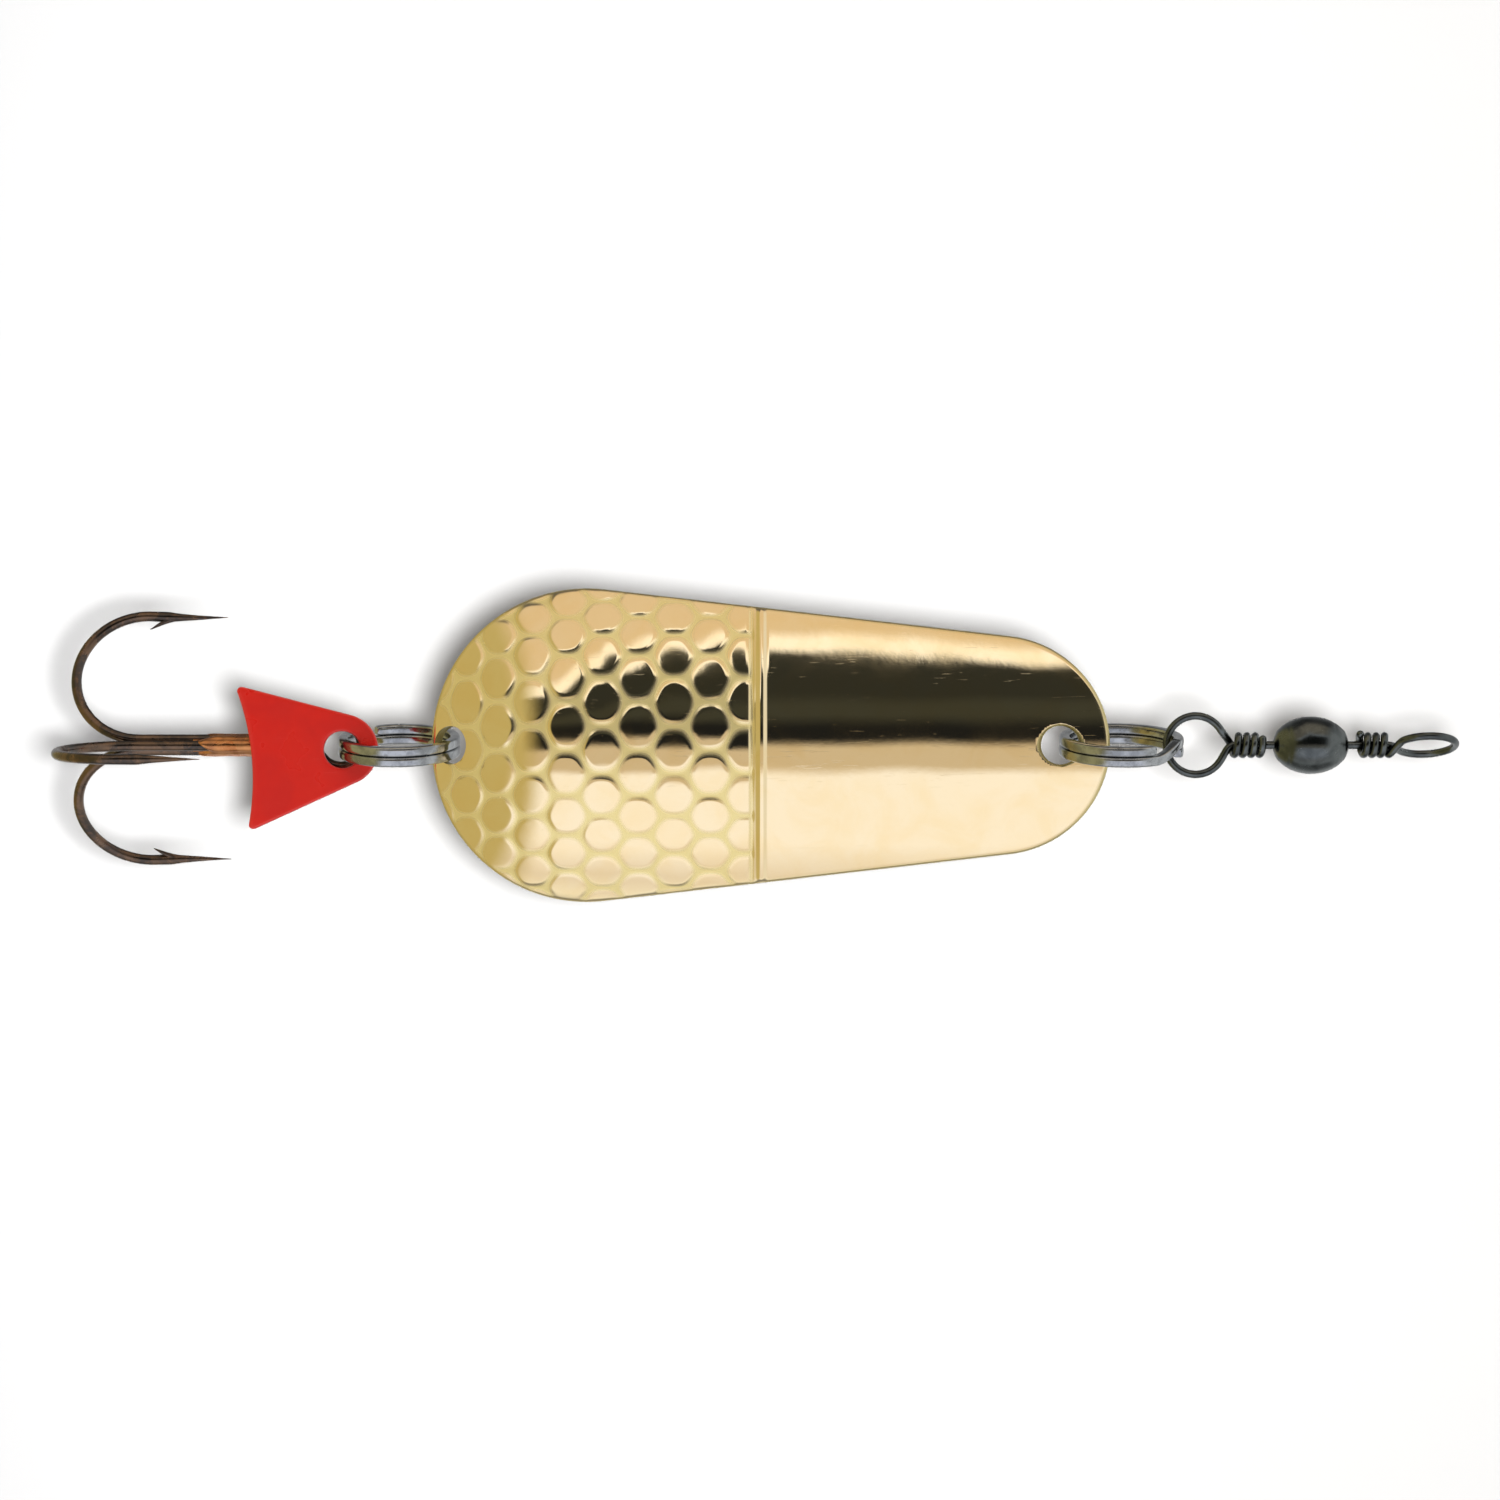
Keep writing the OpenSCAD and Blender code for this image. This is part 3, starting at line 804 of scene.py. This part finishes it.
def swivel_eye():
    """One eye with its loop's centre at the origin and its wraps and elbow along -Z."""
    bulge, cut_length = 0.28, 0.55
    neck = np.array([0, 0, -NECK_Z])
    elbow = neck + [[0, 0, -1.25], [0, 0, -0.25], [0.1, 0, -0.03], [0.32, 0, 0.19]]
    loop = arc([0, 0, 0], EYE_R, -NECK_ANGLE, 180 + NECK_ANGLE, 60, X_AXIS, Z_AXIS)
    start, end = loop[-1], neck + [-0.25, -WRAP_R, -WRAP_TOP / 2]
    t = np.linspace(0, 1, 9)[1:-1, None]
    over = start + (end - start) * t + np.array([0, bulge, 0]) * t * (1 - t)
    a = np.linspace(0, 2 * math.pi * WRAP_TURNS, 200)
    down = -NECK_Z - WRAP_TOP - WRAP_PITCH * a / (2 * math.pi)
    wraps = np.stack([WRAP_R * np.sin(a), -WRAP_R * np.cos(a), down], 1)
    cut_end = wraps[-1] + cut_length * np.array([math.cos(a[-1]), math.sin(a[-1]), 0])
    path = np.concatenate([elbow, loop, over, wraps, [cut_end]])
    return tube(soften(resample(path, 0.08), 10), EYE_WIRE_R, 20)


def eye_stem(tip_z, top_z):
    """The straight stem with the upset head that the barrel holds."""
    stem_r, head_r, head_h, corner = EYE_WIRE_R + 0.01, 0.95, 0.8, 0.16
    a = np.radians(np.linspace(0, 90, 5))
    low = np.stack([head_r - corner + corner * np.sin(a), tip_z + corner - corner * np.cos(a)], 1)
    high = np.stack([head_r - corner + corner * np.cos(a),
                     tip_z + head_h - corner + corner * np.sin(a)], 1)
    neck = np.array([[stem_r + 0.06, tip_z + head_h], [stem_r, tip_z + head_h + 0.08],
                     [stem_r, top_z], [0, top_z]])
    return lathe(np.concatenate([[[0, tip_z]], low, high, neck]), 48)


def eye_piece(name, node, material, body, place):
    """One eye wire from its loop to its head, put where place(points) says."""
    low, high = box_mm(node)
    tip_z = EYE_R + EYE_WIRE_R - (high[2] - low[2])
    points, faces = joined(swivel_eye(), eye_stem(tip_z, -NECK_Z - 0.6))
    return make(name, (place(points), faces), material, body, node)


def swivel_barrel(material):
    """Hollow barrel with rolled lips round its two bores and a soft line at each shoulder."""
    low, high = box_mm("swivel_barrel")
    centre = (low + high) / 2
    half, radius = (high[2] - low[2]) / 2, (high[0] - low[0]) / 2
    open_end, fullness = 80.0, 0.94
    lip_high, lip_in, lip_half = 0.06, 0.32, 0.13
    line_deep, line_at, line_half = 0.022, 0.62, 0.09
    wall_r, cavity, corner = 1.35, 2.1, 0.15
    a = np.radians(np.linspace(-open_end, open_end, 70))
    z = half * np.sin(a) / math.sin(rad(open_end))
    r = radius * np.cos(a) ** fullness
    lip = lip_high * hump(np.abs(z) - half, -lip_in, lip_half)
    line = line_deep * hump(np.abs(z), line_at * half, line_half)
    outside = np.stack([np.maximum(r + lip - line, BARREL_BORE_R + 0.05), z], 1)
    bore = half - 0.08
    inside = np.array([[BARREL_BORE_R, bore], [BARREL_BORE_R, cavity], [wall_r, cavity - corner],
                       [wall_r, corner - cavity], [BARREL_BORE_R, -cavity],
                       [BARREL_BORE_R, -bore]])
    points, faces = lathe(np.concatenate([outside, inside]), 96)
    return make("swivel_shell", (points + centre, faces), material, "barrel",
                "swivel_barrel")


# ---- hook ----

SHANK_OFF = HOOK_WIRE_R * 2 / math.sqrt(3) + 0.025
EYE_MID_R = HOOK_EYE_R + HOOK_WIRE_R
BEND_Z = -HOOK_LEN + BEND_R
POINT_R = SHANK_OFF + 2 * BEND_R
RIGHT = (math.cos(rad(30)), math.sin(rad(30)))
LEFT = (-RIGHT[0], RIGHT[1])
FRONT = (0.0, -1.0)


def in_plane(flat, way):
    """Radial (distance, height) pairs turned into the plane of one prong."""
    flat = np.asarray(flat, float)
    return np.stack([flat[:, 0] * way[0], flat[:, 0] * way[1], flat[:, 1]], 1)


def prong(top, way):
    """Middle line of one prong: down the shank, round the bend, up the point."""
    steps, hollow = 60, 0.75
    c = np.array([SHANK_OFF + BEND_R, BEND_Z])
    shank = np.stack([np.full(steps, SHANK_OFF), np.linspace(top, BEND_Z, steps + 1)[:-1]], 1)
    a = np.radians(np.linspace(180, 360 + POINT_LEAN, 80))
    bend = c + BEND_R * np.stack([np.cos(a), np.sin(a)], 1)
    lean = math.sin(rad(POINT_LEAN))
    rise = POINT_LEN - BEND_R * lean
    t = np.linspace(0, 1, 40)[1:, None]
    point = bend[-1] + np.concatenate([-rise * t * lean * (1 - hollow * t), rise * t], 1)
    return in_plane(np.concatenate([shank, bend, point]), way)


def prong_radii(path):
    """Full wire down to the barb, then a long hollow taper to the needle tip."""
    taper_from, taper, hollow = 1.9, 0.94, 0.82
    swell, swell_at, swell_half = 0.05, 1.5, 0.7
    up = path[:, 2] - BEND_Z
    outside = np.hypot(path[:, 0], path[:, 1]) > SHANK_OFF + BEND_R
    t = np.clip((up - taper_from) / (POINT_LEN - taper_from), 0, 1)
    slim = 1 + swell * hump(up, swell_at, swell_half) - taper * t ** hollow
    return HOOK_WIRE_R * np.where(outside & (up > 0), slim, 1.0)


def barb(way):
    """The sliver raised from the inner side of the point, curled away from it."""
    root_in, root_up, tip_in, tip_up = 0.12, 2.5, 1.32, 0.2
    tip_r, thicker, hollow = 0.035, 0.31, 0.75
    root = np.array([POINT_R - root_in, BEND_Z + root_up])
    tip = np.array([POINT_R - tip_in, BEND_Z + tip_up])
    t = np.linspace(0, 1, 24)[:, None]
    curl = np.array([0.14, 0.08]) * np.sin(math.pi * t)
    path = in_plane(root + (tip - root) * t + curl, way)
    radii = tip_r + thicker * (1 - t[:, 0]) ** hollow
    return tube(path, radii, 14, first=(-way[1], way[0], 0), dome=4)


def hook_piece(name, node, shape, material):
    """A piece of the hook, drawn round the centre of the hook's eye and then put in place."""
    points, faces = shape
    eye_z = box_mm("hook_double_wire")[1][2] - EYE_MID_R - HOOK_WIRE_R
    eye = np.array([0, centre_mm("hook_braze")[1], eye_z])
    return make(name, (turn_z(points, HOOK_YAW) + eye, faces), material, "hook", node)


def hook_eye():
    """Middle line of the eye and its two shoulders, and the height where the shoulders end."""
    shoulder = 0.7
    x, y = SHANK_OFF * RIGHT[0], SHANK_OFF * RIGHT[1]
    sx = x + shoulder
    sz = -math.sqrt((EYE_MID_R + shoulder) ** 2 - sx * sx)
    meet = math.degrees(math.atan2(-sz, sx))
    turn = arc([sx, y, sz], shoulder, 180, 180 - meet, 12, X_AXIS, Z_AXIS)
    loop = arc([0, y, 0], EYE_MID_R, -meet, 180 + meet, 80, X_AXIS, Z_AXIS)
    flip = turn[::-1] * [-1, 1, 1]
    return soften(resample(np.concatenate([turn, loop[1:-1], flip]), 0.12), 10), sz


def double_wire(material):
    """Two prongs and the eye, bent from one wire."""
    eye, shoulder_z = hook_eye()
    top = shoulder_z - 0.8
    right, left = prong(top, RIGHT), prong(top, LEFT)
    path = np.concatenate([right[::-1], eye, left])
    radii = np.concatenate([prong_radii(right)[::-1], np.full(len(eye), HOOK_WIRE_R),
                            prong_radii(left)])
    shape = joined(tube(path, radii, 24), barb(RIGHT), barb(LEFT))
    return hook_piece("hook_pair", "hook_double_wire", shape, material)


def single_wire(material):
    """The third prong, laid against the other two."""
    path = prong(-EYE_MID_R - THIRD_DOWN, FRONT)
    shape = joined(tube(path, prong_radii(path), 24), barb(FRONT))
    return hook_piece("hook_third", "hook_single_wire", shape, material)


def braze(material):
    """Brazing metal drawn in between the three wires: three lobes, thin uneven ends."""
    top = -EYE_MID_R - BRAZE_DOWN
    core_r, thin_r, least_r, over = 0.86, 0.62, 0.3, 0.05
    wire_swell, pinch, end_slope = 1.12, 0.55, 3.2
    bump_high, bump_size, bump_seed = 0.035, 0.55, 3.1
    z = top - BRAZE_LEN * np.linspace(0, 1, 90)
    skin = np.stack([np.full(len(z), BRAZE_R), z], 1)
    spine = np.array([[0, top - BRAZE_LEN], [0, top]])

    def radius(r, z, angle):
        near = max(math.cos(angle - math.atan2(w[1], w[0])) for w in (RIGHT, LEFT, FRONT))
        aside = SHANK_OFF ** 2 * max(0, 1 - near ** 2)
        lobe = SHANK_OFF * near + math.sqrt(HOOK_WIRE_R ** 2 * wire_swell - aside * pinch)
        full = min(BRAZE_R, max(lobe, core_r) + over)
        part = np.clip((top - z) / BRAZE_LEN, 0, 1)
        reach = 0.93 + 0.07 * math.sin(3 * angle + 1.0)
        ends = np.sin(math.pi * np.clip(part / reach, 0, 1)) * end_slope
        fade = np.sqrt(np.clip(ends, 0, 1))
        bumps = np.array([lumps((math.cos(angle), math.sin(angle), v * 0.8), bump_size, bump_seed)
                          for v in z])
        outside = np.maximum(least_r, thin_r + (full - thin_r + bump_high * bumps) * fade)
        return np.where(r > 0, outside, 0)

    shape = lathe(np.concatenate([skin, spine]), 72, radius)
    return hook_piece("hook_collar", "hook_braze", shape, material)


# ---- flag ----

def flag_outline():
    """Outline round the hole: round top, straight sides, small corners, hollow foot."""
    nick, deep = 0.4, 0.9
    edge = math.degrees(math.atan2(FLAG_HALF_W, FLAG_LEN)) - math.degrees(
        math.asin((FLAG_ROUND - nick) / math.hypot(FLAG_LEN, FLAG_HALF_W)))
    foot_r = (FLAG_HALF_W ** 2 + deep ** 2) / (2 * deep)
    side = math.degrees(math.asin((FLAG_HALF_W - nick) / foot_r))
    foot_y = -FLAG_LEN - foot_r * math.cos(rad(side))
    top = arc([0, 0, 0], FLAG_ROUND, 180 - edge, edge, 40, X_AXIS, Y_AXIS)
    right = arc([FLAG_HALF_W - nick, nick - FLAG_LEN, 0], nick, edge, -90, 12, X_AXIS, Y_AXIS)
    foot = arc([0, foot_y, 0], foot_r, 90 - side, 90 + side, 30, X_AXIS, Y_AXIS)
    left = right[::-1] * [-1, 1, 1]
    return np.concatenate([top, right, foot[1:-1], left, top[:1]])


def flag_rings():
    """Closed rings of (flat points, height, wear), once round the plate's cross-section."""
    line = resample(flag_outline(), 0.12)[:-1, :2][::-1]
    along = unit(np.roll(line, -1, 0) - np.roll(line, 1, 0))
    outward = np.stack([along[:, 1], -along[:, 0]], 1)
    from_hole = unit(line)
    hole = from_hole * FLAG_HOLE_R
    lip, half = FLAG_LIP, FLAG_T / 2
    inner, outer = hole + from_hole * lip, line - outward * lip
    across = np.linspace(0, 1, 22)[1:-1]
    at_hole, at_edge = 0.3, 0.8
    a = np.radians(np.linspace(0, 90, 5))
    rings = [(hole + from_hole * lip * (1 - math.sin(k)), half - lip + lip * math.cos(k), at_hole)
             for k in a]
    rings += [(hole + from_hole * lip * (1 - math.cos(k)), -half + lip - lip * math.sin(k), at_hole)
              for k in a[1:]]
    rings += [(inner + (outer - inner) * t, -half, 0) for t in across]
    rings += [(line - outward * lip * (1 - math.sin(k)), -half + lip - lip * math.cos(k), at_edge)
              for k in a]
    rings += [(line - outward * lip * (1 - math.cos(k)), half - lip + lip * math.sin(k), at_edge)
              for k in a[1:]]
    return rings + [(inner + (outer - inner) * t, half, 0) for t in across[::-1]]


def tail_flag(material):
    """Moulded plate with soft edges and a faint bow."""
    rings = flag_rings()
    total, count = len(rings), len(rings[0][0])
    points = np.concatenate([np.concatenate([flat, np.full((count, 1), z)], 1)
                             for flat, z, _ in rings])
    marks = {"edge": np.repeat([worn for _, _, worn in rings], count)}
    faces = [(r * count + c, r * count + (c + 1) % count,
              ((r + 1) % total) * count + (c + 1) % count, ((r + 1) % total) * count + c)
             for r in range(total) for c in range(count)]
    x, y, z = points.T
    bow = FLAG_BOW * (y + BOW_FROM) ** 2 * np.where(y < -BOW_FROM, 1, 0)
    leant = turn_y(np.stack([x, -z - bow, y], 1), -FLAG_LEAN)
    low, high = box_mm("tail_flag")
    centre = np.array([FLAG_AHEAD * math.tan(rad(RING_YAW)), (low[1] + high[1]) / 2,
                       high[2] - FLAG_ROUND])
    return make("flag_plate", (leant + centre, faces), material, "flag",
                "tail_flag", marks=marks)


# ---- room and camera, in metres ----

FLOOR_Z = -0.25
WALL_Y = 0.42
WALL_BEND = 0.12            # radius of the curve from the floor to the wall
FLOOR_FRONT = -4.0
ROOM_HALF = 4.0
ROOM_TOP = 2.5
CAMERA_LENS = 90.7          # millimetres, as is the sensor's width
CAMERA_SENSOR = 36.0
CAMERA_BACK = 0.335         # from the line tie's axis
CAMERA_SIDE = 0.00043       # so that the lure sits in the frame as in the photo
CAMERA_DROP = 0.0006
LAMP_SIDE = 0.00136         # from the camera to the lamp that casts the shadow
LAMP_UP = 0.0024
LAMP_RADIUS = 0.0027
LAMP_WATTS = 62.0
LAMP_CONE = 100             # degrees
LAMP_SOFT = 0.3


def backdrop(material):
    """Pale floor that curves up into a wall behind the lure."""
    a = np.radians(np.linspace(0, 90, 16))
    curve = [(WALL_Y - WALL_BEND + WALL_BEND * math.sin(k),
              FLOOR_Z + WALL_BEND - WALL_BEND * math.cos(k)) for k in a]
    line = [(FLOOR_FRONT, FLOOR_Z)] + curve + [(WALL_Y, ROOM_TOP)]
    points = [(x, y, z) for x in (-ROOM_HALF, ROOM_HALF) for y, z in line]
    n = len(line)
    mesh = bpy.data.meshes.new("sweep")
    mesh.from_pydata(points, [], [(i, i + 1, n + i + 1, n + i) for i in range(n - 1)])
    mesh.shade_smooth()
    mesh.materials.append(material)
    sweep = new_object("sweep", mesh)
    sweep.visible_glossy = False
    sweep.visible_diffuse = False
    return sweep


def room_bands():
    """What stands round the lure, as colours at angles about the Z axis. 0 is straight ahead of
    the blade's face, and the photo's top is at 90."""
    white, cream, blush = rgb(0.92, 0.92, 0.92), rgb(1.0, 1.01, 1.12), rgb(0.80, 0.76, 0.76)
    tan, flare = rgb(0.62, 0.54, 0.44), rgb(1.12, 1.10, 1.12)
    warm, warm_end = rgb(0.76, 0.63, 0.48), rgb(0.74, 0.62, 0.48)
    darkest, dark = rgb(0.013, 0.014, 0.016), rgb(0.03, 0.032, 0.029)
    streak, shade = rgb(0.047, 0.05, 0.043), rgb(0.15, 0.14, 0.13)
    grey, dim, deep = rgb(0.25, 0.25, 0.25), rgb(0.3, 0.3, 0.3), rgb(0.10, 0.10, 0.10)
    behind = rgb(0.4, 0.4, 0.4)
    return [(-180, behind), (-140, white), (-110, grey), (-92, grey), (-80, white), (-66, blush),
            (-48, cream), (-14, cream), (-10, tan), (-1, tan), (2, darkest), (8, darkest),
            (14, streak), (19, streak), (25, dark), (44, dark), (47, flare), (52, flare),
            (57, warm), (96, warm_end), (108, shade), (130, deep), (150, dim), (180, behind)]


def studio_world():
    """Soft white room with one dark opening in front, as seen in the blade."""
    world = bpy.data.worlds.new("studio")
    bpy.context.scene.world = world
    world.use_nodes = True
    g = Graph(world.node_tree)
    way = g.add("ShaderNodeTexCoord").outputs["Generated"]
    axes = g.add("ShaderNodeSeparateXYZ", {0: way})
    up = axes.outputs[2]
    turn = g.math("ARCTAN2", g.times(axes.outputs[0], -1.0), g.times(axes.outputs[1], -1.0))
    # towards both ends of the lure the bands sit a little further round
    to_nose = g.times(g.span(up, 0.0, 0.09, 0.0, 0.15), g.span(turn, 0.3, 0.65))
    lower = g.plus(g.span(up, -0.10, -0.01, 0.17, 0.0), g.span(up, -0.45, -0.10, 0.25, 0.0))
    to_tail = g.times(lower, g.span(turn, 0.15, 0.45))
    turn = g.plus(turn, g.plus(to_nose, to_tail))
    part = g.plus(g.times(turn, 0.5 / math.pi), 0.5)
    around = g.ramp(part, [(0.5 + degrees / 360, colour) for degrees, colour in room_bands()])
    floor_tone, ceiling = rgb(0.53, 0.46, 0.22), rgb(0.8, 0.8, 0.8)
    colour = g.mix(g.span(up, -0.66, -0.42, 1.0, 0.0), around, floor_tone)
    colour = g.mix(g.span(up, 0.45, 0.75), colour, ceiling)
    seen = g.add("ShaderNodeLightPath").outputs["Is Camera Ray"]
    colour = g.mix(seen, colour, rgb(1.0, 1.0, 1.0))
    light = g.add("ShaderNodeBackground", {"Color": colour, "Strength": 1.0})
    g.add("ShaderNodeOutputWorld", {"Surface": light.outputs[0]})


def aim(thing, target):
    thing.rotation_mode = "QUATERNION"
    thing.rotation_quaternion = (Vector(target) - thing.location).to_track_quat("-Z", "Y")


def soft_light(name, place, target, size, watts):
    """A round lamp that lights the matt parts and isn't mirrored in the metal."""
    data = bpy.data.lights.new(name, "AREA")
    data.shape, data.size, data.energy = "DISK", size, watts
    lamp = new_object(name, data)
    lamp.location = place
    aim(lamp, target)
    lamp.visible_camera = False
    lamp.visible_glossy = False


def shadow_lamp(camera, receivers):
    """A small lamp beside the camera that lights only the backdrop, for the soft shadow."""
    data = bpy.data.lights.new("shadow_lamp", "SPOT")
    data.shadow_soft_size, data.energy = LAMP_RADIUS, LAMP_WATTS
    data.spot_size, data.spot_blend = rad(LAMP_CONE), LAMP_SOFT
    lamp = new_object("shadow_lamp", data)
    lamp.location = camera.location + Vector((LAMP_SIDE, 0.0, LAMP_UP))
    aim(lamp, lamp.location + Vector(Y_AXIS))
    lamp.visible_camera = False
    group = bpy.data.collections.new("shadow_receivers")
    for thing in receivers:
        group.objects.link(thing)
    lamp.light_linking.receiver_collection = group


def photo_camera():
    """Looks square at the blade's face, with the line tie to the right."""
    low, high = cad_box
    data = bpy.data.cameras.new("camera")
    data.lens, data.sensor_width = CAMERA_LENS, CAMERA_SENSOR
    camera = new_object("camera", data)
    camera.location = (CAMERA_SIDE, -CAMERA_BACK, (low[2] + high[2]) / 2 - CAMERA_DROP)
    camera.rotation_mode = "XYZ"
    camera.rotation_euler = (rad(90), rad(-90), 0)
    bpy.context.scene.camera = camera
    return camera


# ---- the scene ----

GOLD = surface("gold_plate", gold_plate)
NICKEL = surface("nickel", nickel)
RED = surface("red_plastic", red_plastic)
BRONZED = surface("bronzed_steel", bronzed_steel)
BRAZE = surface("braze_metal", braze_metal)
BLACK = surface("black_nickel", black_nickel)

spoon_blade(GOLD)
ring_piece("nose_ring_coil", "nose_split_ring", NICKEL, "nose_ring", start=150)
ring_piece("tail_ring_coil", "tail_split_ring", NICKEL, "tail_ring", start=330)
tail_flag(RED)
double_wire(BRONZED)
single_wire(BRONZED)
braze(BRAZE)
swivel_barrel(BLACK)
rear_z = box_mm("swivel_rear_eye")[0][2] + EYE_R + EYE_WIRE_R
eye_piece("tie_eye_wire", "swivel_front_eye", BLACK, "line_eye", lambda p: turn_z(p, TIE_YAW))
eye_piece("rear_eye_wire", "swivel_rear_eye", BLACK, "rear_eye",
          lambda p: p * [1, -1, -1] + [0, 0, rear_z])

studio_world()
sweep = backdrop(surface("backdrop_paper", backdrop_paper))
camera = photo_camera()
middle = (cad_box[0] + cad_box[1]) / 2
soft_light("key", place=(-0.45, -0.7, 0.35), target=middle, size=0.5, watts=1.6)
soft_light("fill", place=(0.6, -0.5, -0.2), target=middle, size=0.6, watts=0.8)
shadow_lamp(camera, [sweep])
bpy.context.scene.view_settings.view_transform = "Standard"
